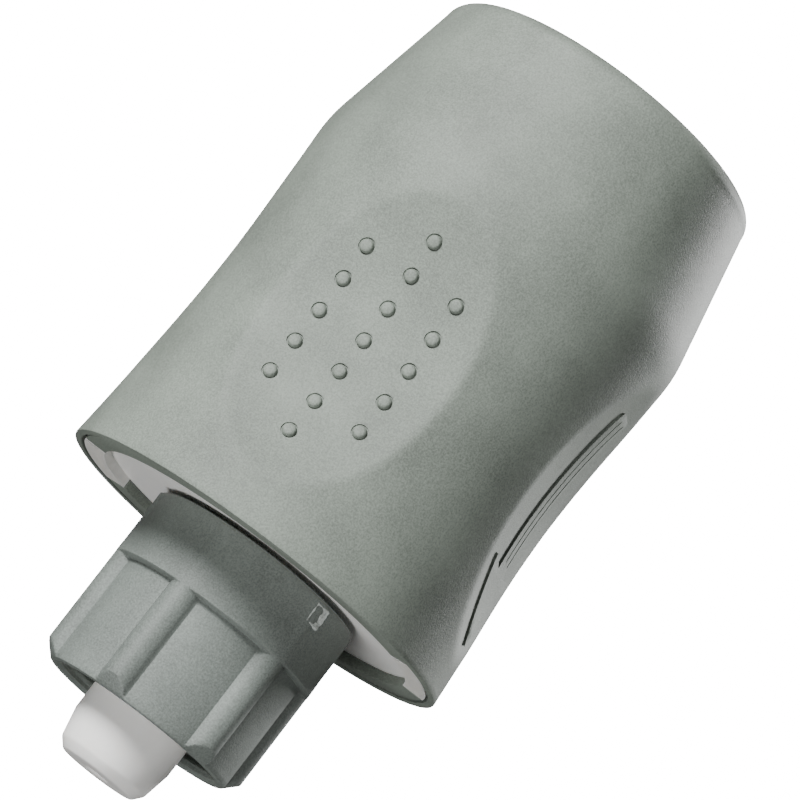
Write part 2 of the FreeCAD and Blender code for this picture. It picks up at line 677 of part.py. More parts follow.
def cell_cradle():
    """Two open troughs on a foot that stands on the gearbox plate."""
    outer, inner = CELL_R + 1.3, CELL_R + 0.25
    foot_z = PLATE_TOP_Z
    parts = [rod(outer, foot_z, 104.0, side * CELL_X, CELL_Y) for side in (-1, 1)]
    parts.append(block(-CELL_X, CELL_X, CELL_Y - 4.0, CELL_Y - 0.8, foot_z, 104.0))
    solid = joined(parts)
    for side in (-1, 1):
        solid = solid.cut(rod(inner, CONTACT_Z, 110, side * CELL_X, CELL_Y))
    solid = solid.cut(block(-30, 30, CELL_Y + 3.0, 40, foot_z + 6, 98.0))
    return solid.cut(block(-30, 30, -10, 1.2, 0, 120))


def contact_spring(side):
    """The coil under one cell, pressed flat by it so that its turns touch."""
    rise = CELL_Z - CONTACT_Z - CONTACT_THICK - FIT
    wire_r = rise / (2 * SPRING_TURNS - 0.1)
    low = CONTACT_Z + CONTACT_THICK + wire_r
    pitch = 2 * wire_r * (1 - 0.1 / SPRING_TURNS)
    turns = [
        Part.makeTorus(SPRING_COIL_R, wire_r, vec(side * CELL_X, CELL_Y, low + i * pitch), Z_AXIS)
        for i in range(SPRING_TURNS)
    ]
    return joined(turns)


def contact_springs():
    return Part.makeCompound([contact_spring(side) for side in (-1, 1)])


def contact_plates():
    """Nickel plates under the springs."""
    return Part.makeCompound([
        rod(5.8, CONTACT_Z, CONTACT_Z + CONTACT_THICK, side * CELL_X, CELL_Y) for side in (-1, 1)
    ])


def cell_bridge():
    """The plate under the cover that joins the two cells."""
    z = CELL_Z + CELL_LENGTH + 0.1
    plate = block(-CELL_X - 4, CELL_X + 4, CELL_Y - 3, CELL_Y + 3, z, z + 0.3)
    return round_edges(plate, 1.5, lambda e: e.BoundBox.ZLength > 0.2)


# ---- electronics ----
def circuit_board():
    board = block(-19.0, 19.0, -1.2, 0.0, PLATE_TOP_Z, BOARD_TOP_Z)
    board = board.cut(block(-9.5, 9.5, -2, 1, PLATE_TOP_Z - 1, PLATE_TOP_Z + 2.5))
    return round_edges(board, 1.5, lambda e: e.BoundBox.YLength > 1 and e.BoundBox.ZMin > BOARD_TOP_Z - 0.1)


def board_chips():
    """Controller, motor driver and radio module on the board's front."""
    spots = [(-9, 92, 7, 7, 1.0), (7.5, 84, 5, 4, 1.2), (9.5, 93.5, 9, 7, 1.6)]
    return Part.makeCompound([
        block(x - w / 2, x + w / 2, -1.2 - t, -1.2, z - h / 2, z + h / 2) for x, z, w, h, t in spots
    ])


def board_capacitors():
    """A can capacitor and a row of chip parts."""
    can = Part.makeCylinder(3.0, 5.5, vec(-1.0, -1.2, 84.5), vec(0, -1, 0))
    can = round_edges(can, 0.4, lambda e: e.BoundBox.YMax < -6.6)
    chips = [block(-15 + 2.6 * i, -13.4 + 2.6 * i, -2.0, -1.2, 83, 84) for i in range(3)]
    chips += [block(-14 + 2.6 * i, -12.4 + 2.6 * i, -2.0, -1.2, 98, 99) for i in range(4)]
    return Part.makeCompound([can] + chips)


def tact_switch():
    body = block(-3, 3, -3.6, 2.4, BOARD_TOP_Z, SWITCH_TOP_Z - 1.0)
    stem = rod(1.7, SWITCH_TOP_Z - 1.2, SWITCH_TOP_Z)
    return joined([body, stem])


def status_led():
    body = rod(1.5, 101.0, 103.6, 8.0, -3.0)
    dome = Part.makeSphere(1.5, vec(8.0, -3.0, 103.6))
    foot = block(6.3, 9.7, -4.6, -1.2, 100.2, 101.2)
    return joined([body, dome, foot])


# ---- cover ----
def end_cover():
    """The round cover over the cells, with a skirt, a seal groove and the button's hole."""
    disc = rod(COVER_R, COVER_Z, TOP_Z)
    disc = round_edges(disc, 0.5, lambda e: e.BoundBox.ZMin > TOP_Z - 0.01 and e.BoundBox.XLength > 1)
    skirt = tube(LEDGE_R - 0.3, LEDGE_R - 1.8, COVER_Z - SKIRT_LENGTH, COVER_Z + 0.5)
    posts = [rod(1.4, 106.9, COVER_Z + 0.5, side * (CELL_X + 1), CELL_Y) for side in (-1, 1)]
    cover = joined([disc, skirt] + posts)
    cover = cover.cut(tube(LEDGE_R + 1, LEDGE_R - 1.0, COVER_Z - 1.8, COVER_Z - 0.8))
    cover = cover.cut(rod(BUTTON_R + 0.2, 100, TOP_Z + 1))
    cover = cover.cut(rod(1.2, 100, TOP_Z + 1, 8.0, -3.0))
    notch = Part.makeCylinder(4.0, 1.6, vec(0, COVER_R + 1.6, TOP_Z - 1.0), Z_AXIS)
    return cover.cut(notch)


def status_window():
    return rod(1.2, 106.0, TOP_Z, 8.0, -3.0)


def mode_button():
    cap = rod(BUTTON_R, COVER_Z - 0.6, TOP_Z + 0.7)
    cap = round_edges(cap, 0.6, lambda e: e.BoundBox.ZMin > TOP_Z + 0.6 and e.BoundBox.XLength > 1)
    flange = rod(BUTTON_R + 1.0, COVER_Z - 1.2, COVER_Z - 0.1)
    stem = rod(2.2, SWITCH_TOP_Z + BUTTON_GAP, COVER_Z - 1.0)
    dish = Part.makeSphere(22.0, vec(0, 0, TOP_Z + 0.7 + 22.0 - 0.35))
    return joined([cap, flange, stem]).cut(dish)


PIECES = {
    "outer_housing": outer_housing,
    "bezel_ring": bezel_ring,
    "base_plate": base_plate,
    "valve_neck": valve_neck,
    "neck_circlip": neck_circlip,
    "plunger_seal": lambda: ring_seal(PLUNGER_R + FIT + SEAL_R, SEAL_R, SEAL_Z),
    "coupling_nut": coupling_nut,
    "nut_washer": nut_washer,
    "plunger": plunger,
    "lead_screw": lead_screw,
    "drive_gear": drive_gear,
    "idler_gear_1": idler_gear_1,
    "idler_gear_2": idler_gear_2,
    "idler_axle_1": lambda: idler_axle(IDLER_1_PLACE),
    "idler_axle_2": lambda: idler_axle(IDLER_2_PLACE),
    "motor_pinion": motor_pinion,
    "gearbox_plate": gearbox_plate,
    "screw_bearing": screw_bearing,
    "gearbox_screws": gearbox_screws,
    "motor_can": motor_can,
    "motor_bush": motor_bush,
    "motor_magnets": motor_magnets,
    "motor_end_bell": motor_end_bell,
    "motor_terminals": motor_terminals,
    "motor_shaft": motor_shaft,
    "motor_armature": motor_armature,
    "cell_left": lambda: cell(-1),
    "cell_right": lambda: cell(1),
    "cell_cradle": cell_cradle,
    "contact_springs": contact_springs,
    "contact_plates": contact_plates,
    "cell_bridge": cell_bridge,
    "circuit_board": circuit_board,
    "board_chips": board_chips,
    "board_capacitors": board_capacitors,
    "tact_switch": tact_switch,
    "status_led": status_led,
    "status_window": status_window,
    "end_cover": end_cover,
    "cover_seal": lambda: ring_seal(LEDGE_R - 0.53, 0.45, COVER_Z - 1.3),
    "mode_button": mode_button,
}


def main():
    os.makedirs("parts", exist_ok=True)
    for node, make in PIECES.items():
        shape = make()
        if not shape.isValid():
            print("not valid:", node)
        print(f"{node}: {len(shape.Solids)} solids, {shape.Volume:.1f} mm3")
        shape.exportStep(f"parts/{node}.step")


main()
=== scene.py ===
"""Looks for the motorised actuator head, laid out as an add-on and run as a script.

Lengths are in metres in the head's own frame: the origin is the centre of the neck's seating
face and +Z runs up the head's axis to the end cover.
"""

import json
import math

import bmesh
import bpy
from bpy.props import FloatProperty, IntProperty, PointerProperty, StringProperty
from mathutils import Matrix, Vector
from mathutils.geometry import intersect_point_line


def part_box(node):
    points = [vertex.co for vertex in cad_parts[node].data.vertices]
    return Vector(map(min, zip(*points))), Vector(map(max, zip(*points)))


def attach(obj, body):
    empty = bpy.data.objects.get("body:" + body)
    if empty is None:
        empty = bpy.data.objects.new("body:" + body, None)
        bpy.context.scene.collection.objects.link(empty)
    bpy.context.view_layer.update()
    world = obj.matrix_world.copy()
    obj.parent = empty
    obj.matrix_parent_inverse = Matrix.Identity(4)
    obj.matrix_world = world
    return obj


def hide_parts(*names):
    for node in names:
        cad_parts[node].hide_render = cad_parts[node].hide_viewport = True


bl_info = {
    "name": "Motorised actuator head",
    "version": (1, 0, 0),
    "blender": (4, 5, 0),
    "location": "3D View > Sidebar > Actuator",
    "description": "Builds the looks of a motorised actuator head round its packed CAD frame",
    "category": "Object",
}

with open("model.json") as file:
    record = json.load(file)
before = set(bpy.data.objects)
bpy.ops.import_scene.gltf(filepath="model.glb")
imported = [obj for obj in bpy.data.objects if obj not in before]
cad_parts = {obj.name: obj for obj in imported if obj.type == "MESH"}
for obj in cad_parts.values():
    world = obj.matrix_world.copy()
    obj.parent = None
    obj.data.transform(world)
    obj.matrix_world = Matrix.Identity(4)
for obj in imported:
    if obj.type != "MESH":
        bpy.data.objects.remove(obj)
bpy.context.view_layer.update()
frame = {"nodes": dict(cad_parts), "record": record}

MM = 0.001
FULL_TURN = 2 * math.pi
SHARP = math.radians(28)


def low(node):
    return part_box(node)[0]


def high(node):
    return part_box(node)[1]


RIM_Z = low("outer_housing").z
TOP_Z = high("outer_housing").z
RIM_R = high("outer_housing").x
BASE_TOP_Z = min(low("idler_axle_1").z, low("idler_axle_2").z) + 1.0 * MM
NUT_Z = (low("coupling_nut").z, high("coupling_nut").z)
PLUNGER_Z = (low("plunger").z, high("plunger").z)
COVER_R = high("end_cover").x
COVER_Z = TOP_Z - 2.2 * MM


# ---- settings ----
def length(name, description, default, low_limit=0.0, high_limit=0.2):
    return FloatProperty(
        name=name, description=description, default=default, min=low_limit, max=high_limit,
        unit="LENGTH", precision=5,
    )


def colour(name, description, default):
    return StringProperty(name=name, description=description + ", as an sRGB hex value", default=default)


class HousingSizes(bpy.types.PropertyGroup):
    """Sizes of the round housing and its four grip pads."""

    waist_radius: length("Waist radius", "Radius of the housing's narrowest ring", RIM_R - 1.5 * MM)
    waist_height: length("Waist height", "Height of the waist above the rim", 33 * MM)
    shoulder_radius: length("Shoulder radius", "Radius where the top's taper starts", RIM_R - 0.7 * MM)
    shoulder_height: length("Shoulder height", "Height of the shoulder above the rim", 60.5 * MM)
    top_radius: length("Top radius", "Radius that the taper reaches at the end face", RIM_R - 5.8 * MM)
    top_round: length("Top round", "Radius of the rounding at the end face", 2.8 * MM)
    wall: length("Wall", "Thickness of the moulded wall", 2.2 * MM)
    pad_height: length("Pad height", "Height of the pads' middle above the rim", 32 * MM)
    dotted_depth: length("Dotted pad", "Distance from the axis to a dotted pad's deepest point", 27.6 * MM)
    dotted_scoop: length("Dotted scoop", "Radius of a dotted pad's hollow along the axis", 65 * MM)
    arrow_depth: length("Arrow pad", "Distance from the axis to an arrow pad's deepest point", 28.8 * MM)
    arrow_scoop: length("Arrow scoop", "Radius of an arrow pad's hollow along the axis", 91 * MM)
    pad_blend: length("Pad blend", "How far a pad's edge is softened", 0.3 * MM)
    shoulder_blend: length("Shoulder blend", "How far the shoulder is softened", 0.75 * MM)
    dot_radius: length("Dot radius", "Radius of a raised dot", 1.08 * MM)
    dot_rise: length("Dot rise", "Height of a raised dot", 0.6 * MM)
    moat_radius: length("Moat radius", "Radius of the shallow moat round each dot", 1.28 * MM)
    moat_depth: length("Moat depth", "Depth of the moat round each dot", 0.2 * MM)
    dot_pitch_up: length("Dot pitch up", "Spacing of the dots along the axis", 5.7 * MM)
    dot_pitch_across: length("Dot pitch across", "Spacing of the three columns of dots", 8.0 * MM)
    arrow_rise: length("Arrow rise", "Height of a raised arrow", 0.5 * MM)
    arrow_line: length("Arrow line", "Depth of the two fine lines along an arrow's shaft", 0.25 * MM)


class NutSizes(bpy.types.PropertyGroup):
    """Sizes of the ribbed union nut."""

    crest_radius: length("Crest radius", "Radius over the ribs", 17.8 * MM)
    collar_radius: length("Collar radius", "Radius of the collar between the ribs", 17.45 * MM)
    panel_radius: length("Panel radius", "Radius of the recessed panels", 15.9 * MM)
    collar_length: length("Collar length", "Length of the collar from the top", 11.0 * MM)
    rib_radius: length("Rib radius", "Radius of a rib's round back", 2.6 * MM)
    rib_count: IntProperty(name="Ribs", description="Number of ribs", default=6, min=3, max=12)
    rib_turn: FloatProperty(
        name="Rib turn", description="Azimuth of the first rib", default=math.radians(23.2), unit="ROTATION",
    )
    mouth_radius: length("Mouth radius", "Outer radius of the mouth's end face", 15.6 * MM)
    mouth_bevel: length("Mouth bevel", "Length of the bevel that cuts the ribs' ends", 2.2 * MM)
    thread_minor: length("Thread minor radius", "Radius at the thread's crests", 14.19 * MM)
    thread_major: length("Thread major radius", "Radius at the thread's roots", 15.0 * MM)
    thread_pitch: length("Thread pitch", "Distance between neighbouring threads", 1.5 * MM)
    lip_radius: length("Lip radius", "Bore of the inner lip that rides on the neck", 12.7 * MM)
    lip_height: length("Lip height", "Height of the lip's underside", 12.5 * MM)


class Finishes(bpy.types.PropertyGroup):
    """Base colours of the head's materials."""

    housing: colour("Housing", "Colour of the moulded housing", "7B837A")
    # The nut's colour is the housing's plastic darkened as painted shade.
    nut: colour("Nut", "Colour of the union nut", "737A75")
    sheared: colour("Sheared", "Colour of the torn plastic at the nut's gate", "C6CCC8")
    white: colour("White", "Colour of the white acetal pieces", "FAF9F5")
    gear: colour("Gear", "Colour of the natural acetal gears", "E4DCC6")
    black: colour("Black", "Colour of the black moulded pieces", "1B1C1E")
    steel: colour("Steel", "Colour of bare steel", "A9ABAD")
    zinc: colour("Zinc", "Colour of zinc plate", "9FA6AC")
    bronze: colour("Bronze", "Colour of sintered bronze", "8F6A43")
    brass: colour("Brass", "Colour of turned brass", "C9A45C")
    nickel: colour("Nickel", "Colour of nickel plate", "BDBCB6")
    ferrite: colour("Ferrite", "Colour of the magnets", "3A3A3C")
    rubber: colour("Rubber", "Colour of the seals", "151515")
    sleeve: colour("Sleeve", "Colour of the cells' sleeve", "26465C")
    board: colour("Board", "Colour of the board's solder mask", "1F5A34")
    button: colour("Button", "Colour of the mode button", "4A504D")


class StageSizes(bpy.types.PropertyGroup):
    """Where the camera stands and how bright the surroundings are."""

    distance: length("Distance", "From the camera to the housing's open end", 657 * MM, 0.1, 5)
    lens: FloatProperty(name="Lens", description="Focal length of the camera, in millimetres", default=202.0)
    lean: FloatProperty(
        name="Lean", description="How far the head's top leans away from the camera",
        default=math.radians(10.9), unit="ROTATION",
    )
    roll: FloatProperty(
        name="Roll", description="Slope of the head's axis across the view",
        default=math.atan2(0.792, 0.609), unit="ROTATION",
    )
    spin: FloatProperty(
        name="Spin", description="Turn of the arrow pad away from the camera, round the head's axis",
        default=math.radians(74.5), unit="ROTATION",
    )
    along: length(
        "Along", "Open end's distance from the view's middle, along the axis", -32.9 * MM, -0.2, 0.2,
    )
    across: length(
        "Across", "Open end's distance from the view's middle, across the axis", -1.8 * MM, -0.2, 0.2,
    )
    glow: FloatProperty(name="Glow", description="Strength of the surroundings as a light", default=0.06)
    white: FloatProperty(name="White", description="Strength of the surroundings as seen", default=20.0)


class HeadSettings(bpy.types.PropertyGroup):
    """All of the add-on's settings."""

    housing: PointerProperty(type=HousingSizes)
    nut: PointerProperty(type=NutSizes)
    finish: PointerProperty(type=Finishes)
    stage: PointerProperty(type=StageSizes)


def settings(context):
    return context.scene.actuator_head


# ---- materials ----
def linear(hex_value):
    """Linear RGBA from an sRGB hex value."""
    channels = [int(hex_value[i:i + 2], 16) / 255 for i in (0, 2, 4)]
    return [c / 12.92 if c <= 0.04045 else ((c + 0.055) / 1.055) ** 2.4 for c in channels] + [1.0]


def shaded(rgba, factor):
    return [min(1.0, c * factor) for c in rgba[:3]] + [1.0]


def add_node(tree, kind, inputs=None, **settings_of_node):
    """Adds a node, sets it, and sets or links its inputs."""
    node = tree.nodes.new(kind)
    for name, value in settings_of_node.items():
        setattr(node, name, value)
    for name, value in (inputs or {}).items():
        if isinstance(value, bpy.types.NodeSocket):
            tree.links.new(value, node.inputs[name])
        else:
            node.inputs[name].default_value = value
    return node


def per_metre(size_mm):
    """Noise scale, on Object coordinates in metres, whose features have that size."""
    return 1000.0 / size_mm


def blank_material(name):
    material = bpy.data.materials.new(name)
    material.use_nodes = True
    tree = material.node_tree
    tree.nodes.clear()
    shader = add_node(tree, "ShaderNodeBsdfPrincipled")
    output = add_node(tree, "ShaderNodeOutputMaterial")
    tree.links.new(shader.outputs["BSDF"], output.inputs["Surface"])
    place = add_node(tree, "ShaderNodeTexCoord").outputs["Object"]
    return material, tree, shader, place


def ramp(tree, factor, stops):
    node = add_node(tree, "ShaderNodeValToRGB", {"Fac": factor})
    elements = node.color_ramp.elements
    while len(elements) < len(stops):
        elements.new(0.5)
    for element, (position, rgba) in zip(elements, stops):
        element.position = position
        element.color = rgba
    return node.outputs["Color"]


def span(tree, value, low_value, high_value):
    """Maps 0..1 onto a range."""
    return add_node(
        tree, "ShaderNodeMapRange", {"Value": value, "To Min": low_value, "To Max": high_value},
    ).outputs["Result"]


def moulded(name, hex_value, roughness, grain_mm, grain_depth_mm, mottle_and_grain_shade=0.06, ior=1.53, specular=0.5,
            scatter=0.0):
    """Injection-moulded plastic: a spark-eroded grain from the tool, with painted shade in the grain's
    hollows and painted highlight on its peaks, and faint flow mottling.
    """
    material, tree, shader, place = blank_material(name)
    base = linear(hex_value)
    grain = add_node(tree, "ShaderNodeTexNoise", {
        "Vector": place, "Scale": per_metre(grain_mm), "Detail": 3.0, "Roughness": 0.6,
    }).outputs["Fac"]
    flow = add_node(tree, "ShaderNodeTexNoise", {
        "Vector": place, "Scale": per_metre(14.0), "Detail": 4.0, "Roughness": 0.5,
    }).outputs["Fac"]
    # Painted shade and painted highlight: the grain's hollows are darkened and its peaks lightened,
    # following the same noise as the bump.
    painted_shade_hollows, painted_highlight_peaks = shaded(base, 1 - 1.6 * mottle_and_grain_shade), shaded(base, 1 + 1.2 * mottle_and_grain_shade)
    speckle = ramp(tree, grain, [(0.34, painted_shade_hollows), (0.66, painted_highlight_peaks)])
    clouds = ramp(tree, flow, [(0.3, shaded(base, 1 - mottle_and_grain_shade)), (0.7, shaded(base, 1 + mottle_and_grain_shade))])
    tint = add_node(tree, "ShaderNodeMix", {"Factor": 0.5}, data_type="RGBA")
    tree.links.new(speckle, tint.inputs["A"])
    tree.links.new(clouds, tint.inputs["B"])
    tree.links.new(tint.outputs["Result"], shader.inputs["Base Color"])
    tree.links.new(span(tree, grain, roughness - 0.08, roughness + 0.1), shader.inputs["Roughness"])
    bump = add_node(
        tree, "ShaderNodeBump", {"Height": grain, "Strength": 1.0, "Distance": grain_depth_mm * MM},
    )
    tree.links.new(bump.outputs["Normal"], shader.inputs["Normal"])
    shader.inputs["IOR"].default_value = ior
    shader.inputs["Specular IOR Level"].default_value = specular
    shader.inputs["Subsurface Weight"].default_value = scatter
    shader.inputs["Subsurface Radius"].default_value = (0.6, 0.55, 0.5)
    shader.inputs["Subsurface Scale"].default_value = 1.5 * MM
    return material


def metal(name, hex_value, roughness, lines_mm=0.3, stretch=(1.0, 1.0, 0.05), depth_mm=0.01):
    """Metal with the fine lines that drawing, turning or rolling leaves, and a faint change of polish."""
    material, tree, shader, place = blank_material(name)
    base = linear(hex_value)
    pulled = add_node(tree, "ShaderNodeMapping", {"Vector": place, "Scale": stretch}).outputs["Vector"]
    lines = add_node(tree, "ShaderNodeTexNoise", {
        "Vector": pulled, "Scale": per_metre(lines_mm), "Detail": 2.0, "Roughness": 0.5,
    }).outputs["Fac"]
    tone = ramp(tree, lines, [(0.3, shaded(base, 0.88)), (0.7, shaded(base, 1.08))])
    tree.links.new(tone, shader.inputs["Base Color"])
    tree.links.new(span(tree, lines, roughness - 0.06, roughness + 0.1), shader.inputs["Roughness"])
    bump = add_node(tree, "ShaderNodeBump", {"Height": lines, "Strength": 0.6, "Distance": depth_mm * MM})
    tree.links.new(bump.outputs["Normal"], shader.inputs["Normal"])
    shader.inputs["Metallic"].default_value = 1.0
    return material


def spark_eroded_abs(finish):
    """ABS from a spark-eroded tool: dull and with no clear highlight of its own, softly speckled with
    painted shade and painted highlight on its grain.
    """
    return moulded("spark_eroded_abs", finish.housing, 0.62, 0.28, 0.06, mottle_and_grain_shade=0.32)


def glass_filled_nylon(finish):
    """Glass-filled nylon: its base colour is darker than the housing's as painted shade, with a coarser
    speckle of painted grain shade and a slight sheen.
    """
    return moulded("glass_filled_nylon", finish.nut, 0.56, 0.28, 0.055, mottle_and_grain_shade=0.32)


def sheared_nylon(finish):
    """The nut's plastic where it was broken off at the gate: paler, glossy and torn."""
    return moulded("sheared_nylon", finish.sheared, 0.2, 0.5, 0.12, mottle_and_grain_shade=0.35)


def white_acetal(finish):
    """White acetal: dense, waxy and faintly glossy."""
    return moulded("white_acetal", finish.white, 0.36, 0.9, 0.01, mottle_and_grain_shade=0.02, ior=1.48, scatter=0.15)


def natural_acetal(finish):
    """Undyed acetal gears: cream, waxy."""
    return moulded("natural_acetal", finish.gear, 0.4, 0.8, 0.01, mottle_and_grain_shade=0.03, ior=1.48, scatter=0.15)


def black_abs(finish):
    """Black ABS for the cradle and the end bell: fine texture, low gloss."""
    return moulded("black_abs", finish.black, 0.5, 0.35, 0.02, mottle_and_grain_shade=0.12)


def nitrile_rubber(finish):
    """Nitrile rubber seals: dull black with a powdery bloom."""
    return moulded("nitrile_rubber", finish.rubber, 0.75, 0.3, 0.02, mottle_and_grain_shade=0.2)


def shrink_sleeve(finish):
    """PVC shrink sleeve over a cell's steel can: smooth and glossy, with the can's plated ends left bare."""
    material = moulded("shrink_sleeve", finish.sleeve, 0.26, 1.2, 0.008, mottle_and_grain_shade=0.03)
    tree = material.node_tree
    shader = tree.nodes["Principled BSDF"]
    middle = (low("cell_right") + high("cell_right")) / 2
    place = add_node(tree, "ShaderNodeTexCoord").outputs["Object"]
    split = add_node(tree, "ShaderNodeSeparateXYZ", {"Vector": place}).outputs
    side = add_node(tree, "ShaderNodeMath", {0: split["X"]}, operation="ABSOLUTE").outputs["Value"]
    across = add_node(tree, "ShaderNodeCombineXYZ", {"X": side, "Y": split["Y"]}).outputs["Vector"]
    off_axis = add_node(
        tree, "ShaderNodeVectorMath", {0: across, 1: (middle.x, middle.y, 0)}, operation="DISTANCE",
    ).outputs["Value"]
    bare_radius = 6.0 * MM
    bare = add_node(
        tree, "ShaderNodeMath", {0: off_axis, 1: bare_radius}, operation="LESS_THAN",
    ).outputs["Value"]
    sleeve = shader.inputs["Base Color"].links[0].from_socket
    tone = add_node(tree, "ShaderNodeMix", {"Factor": bare}, data_type="RGBA")
    tree.links.new(sleeve, tone.inputs["A"])
    tone.inputs["B"].default_value = linear(finish.nickel)
    tree.links.new(tone.outputs["Result"], shader.inputs["Base Color"])
    tree.links.new(bare, shader.inputs["Metallic"])
    return material


def button_abs(finish):
    """Dyed ABS of the button, smoother than the housing from being pressed."""
    return moulded("button_abs", finish.button, 0.46, 0.35, 0.025, mottle_and_grain_shade=0.06)


def solder_mask(finish):
    """Green solder mask over glass epoxy: glossy, with the weave just telling."""
    return moulded("solder_mask", finish.board, 0.3, 0.6, 0.01, mottle_and_grain_shade=0.08)


def moulding_epoxy(finish):
    """Black epoxy of the chips' bodies: fine sanded look."""
    return moulded("moulding_epoxy", finish.black, 0.6, 0.2, 0.01, mottle_and_grain_shade=0.15)


def drawn_steel(finish):
    """Drawn steel of the shafts and the screw: lines run along the axis."""
    return metal("drawn_steel", finish.steel, 0.28)


def zinc_plate(finish):
    """Zinc plate on pressed steel: cool, a little cloudy."""
    return metal("zinc_plate", finish.zinc, 0.34, 1.6, (1.0, 1.0, 1.0))


def sintered_bronze(finish):
    """Oil-filled sintered bronze bearings: dull and porous."""
    return metal("sintered_bronze", finish.bronze, 0.5, 0.2, (1.0, 1.0, 1.0), 0.02)


def turned_brass(finish):
    """Turned brass pinion."""
    return metal("turned_brass", finish.brass, 0.25, 0.2, (1.0, 1.0, 1.0))


def nickel_plate(finish):
    """Nickel-plated spring steel of the contacts and rings."""
    return metal("nickel_plate", finish.nickel, 0.22, 0.8, (1.0, 1.0, 1.0))


def sintered_ferrite(finish):
    """Ferrite magnets: dark grey, stony and hardly shiny."""
    return moulded("sintered_ferrite", finish.ferrite, 0.7, 0.3, 0.02, mottle_and_grain_shade=0.15)


def clear_polycarbonate(finish):
    """Diffusing polycarbonate of the lamp and its window."""
    return moulded(
        "clear_polycarbonate", finish.white, 0.18, 1.0, 0.004, mottle_and_grain_shade=0.01, ior=1.58, scatter=0.4,
    )


MATERIALS = {
    "housing_plastic": spark_eroded_abs,
    "nut_plastic": glass_filled_nylon,
    "base_plastic": white_acetal,
    "plunger_plastic": white_acetal,
    "gear_plastic": natural_acetal,
    "cradle_plastic": black_abs,
    "steel": drawn_steel,
    "zinc_steel": zinc_plate,
    "bronze": sintered_bronze,
    "brass": turned_brass,
    "ferrite": sintered_ferrite,
    "nickel": nickel_plate,
    "cell_sleeve": shrink_sleeve,
    "board": solder_mask,
    "chip_epoxy": moulding_epoxy,
    "window": clear_polycarbonate,
    "rubber": nitrile_rubber,
    "button_plastic": button_abs,
}


def material_for(slot, context):
    """The material of a record's slot, made once."""
    maker = MATERIALS[slot]
    return bpy.data.materials.get(maker.__name__) or maker(settings(context).finish)


# ---- mesh helpers ----
def soft_min(a, b, blend):
    """The smaller of two lengths, with the corner between them rounded over the blend."""
    overlap = max(blend - abs(a - b), 0.0)
    return min(a, b) - overlap * overlap / (4 * blend)


def soft_max(a, b, blend):
    return -soft_min(-a, -b, blend)


def smooth_step(value, start, end):
    t = min(max((value - start) / (end - start), 0.0), 1.0)
    return t * t * (3 - 2 * t)


def spun(outline, steps, closed=True):
    """A bmesh spun about Z from (radius, z) points."""
    bm = bmesh.new()
    verts = [bm.verts.new((radius, 0, z)) for radius, z in outline]
    ends = verts[1:] + verts[:1] if closed else verts[1:]
    edges = [bm.edges.new(pair) for pair in zip(verts, ends)]
    bmesh.ops.spin(
        bm, geom=verts + edges, cent=(0, 0, 0), axis=(0, 0, 1), angle=FULL_TURN, steps=steps, use_merge=True,
        use_duplicate=False,
    )
    bmesh.ops.remove_doubles(bm, verts=bm.verts, dist=1e-7)
    return bm


def merged(parts):
    """One bmesh from several."""
    whole = bmesh.new()
    for part in parts:
        spare = bpy.data.meshes.new("part")
        part.to_mesh(spare)
        part.free()
        whole.from_mesh(spare)
        bpy.data.meshes.remove(spare)
    return whole


def bevel_sharp(bm, width, segments=2):
    """Rounds the sharp edges."""
    bmesh.ops.recalc_face_normals(bm, faces=bm.faces)
    sharp = [e for e in bm.edges if len(e.link_faces) == 2 and e.calc_face_angle(0) > SHARP]
    bmesh.ops.bevel(
        bm, geom=sharp, offset=width, offset_type="OFFSET", segments=segments, profile=0.5, affect="EDGES",
        material=-1, clamp_overlap=True,
    )


def mesh_object(name, bm):
    """Turns a bmesh into a smooth-shaded object with its sharp edges kept."""
    bmesh.ops.recalc_face_normals(bm, faces=bm.faces)
    mesh = bpy.data.meshes.new(name)
    bm.to_mesh(mesh)
    bm.free()
    mesh.shade_smooth()
    mesh.set_sharp_from_angle(angle=SHARP)
    piece = bpy.data.objects.new(name, mesh)
    bpy.context.scene.collection.objects.link(piece)
    return piece


def fitted(context, name, bm, body, slot, *replaced):
    """A finished piece: its mesh, its material, the body it rides on and the CAD nodes it stands for."""
    piece = mesh_object(name, bm)
    piece.data.materials.append(material_for(slot, context))
    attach(piece, body)
    if replaced:
        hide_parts(*replaced)
    return piece


def dressed(context, *nodes):
    """Gives CAD nodes the material of their own slot."""
    slots = {s["node"]: s["material_slot"] for s in frame["record"]["subparts"]}
    for node in nodes:
        shape = frame["nodes"][node]
        shape.data.materials.clear()
        shape.data.materials.append(material_for(slots[node], context))


def polar(vert):
    return math.hypot(vert.co.x, vert.co.y), math.atan2(vert.co.y, vert.co.x)


def set_radius(vert, radius, azimuth):
    vert.co.x = radius * math.cos(azimuth)
    vert.co.y = radius * math.sin(azimuth)


def between(start, end, steps):
    """Evenly spaced values from start to end, both kept."""
    return [start + (end - start) * i / steps for i in range(steps + 1)]


# ---- housing ----
def circle_through(a, b, c):
    """Centre and radius of the circle through three (x, y) points."""
    d = 2 * (a[0] * (b[1] - c[1]) + b[0] * (c[1] - a[1]) + c[0] * (a[1] - b[1]))
    squares = [p[0] ** 2 + p[1] ** 2 for p in (a, b, c)]
    x = (squares[0] * (b[1] - c[1]) + squares[1] * (c[1] - a[1]) + squares[2] * (a[1] - b[1])) / d
    y = (squares[0] * (c[0] - b[0]) + squares[1] * (a[0] - c[0]) + squares[2] * (b[0] - a[0])) / d
    return x, y, math.hypot(a[0] - x, a[1] - y)


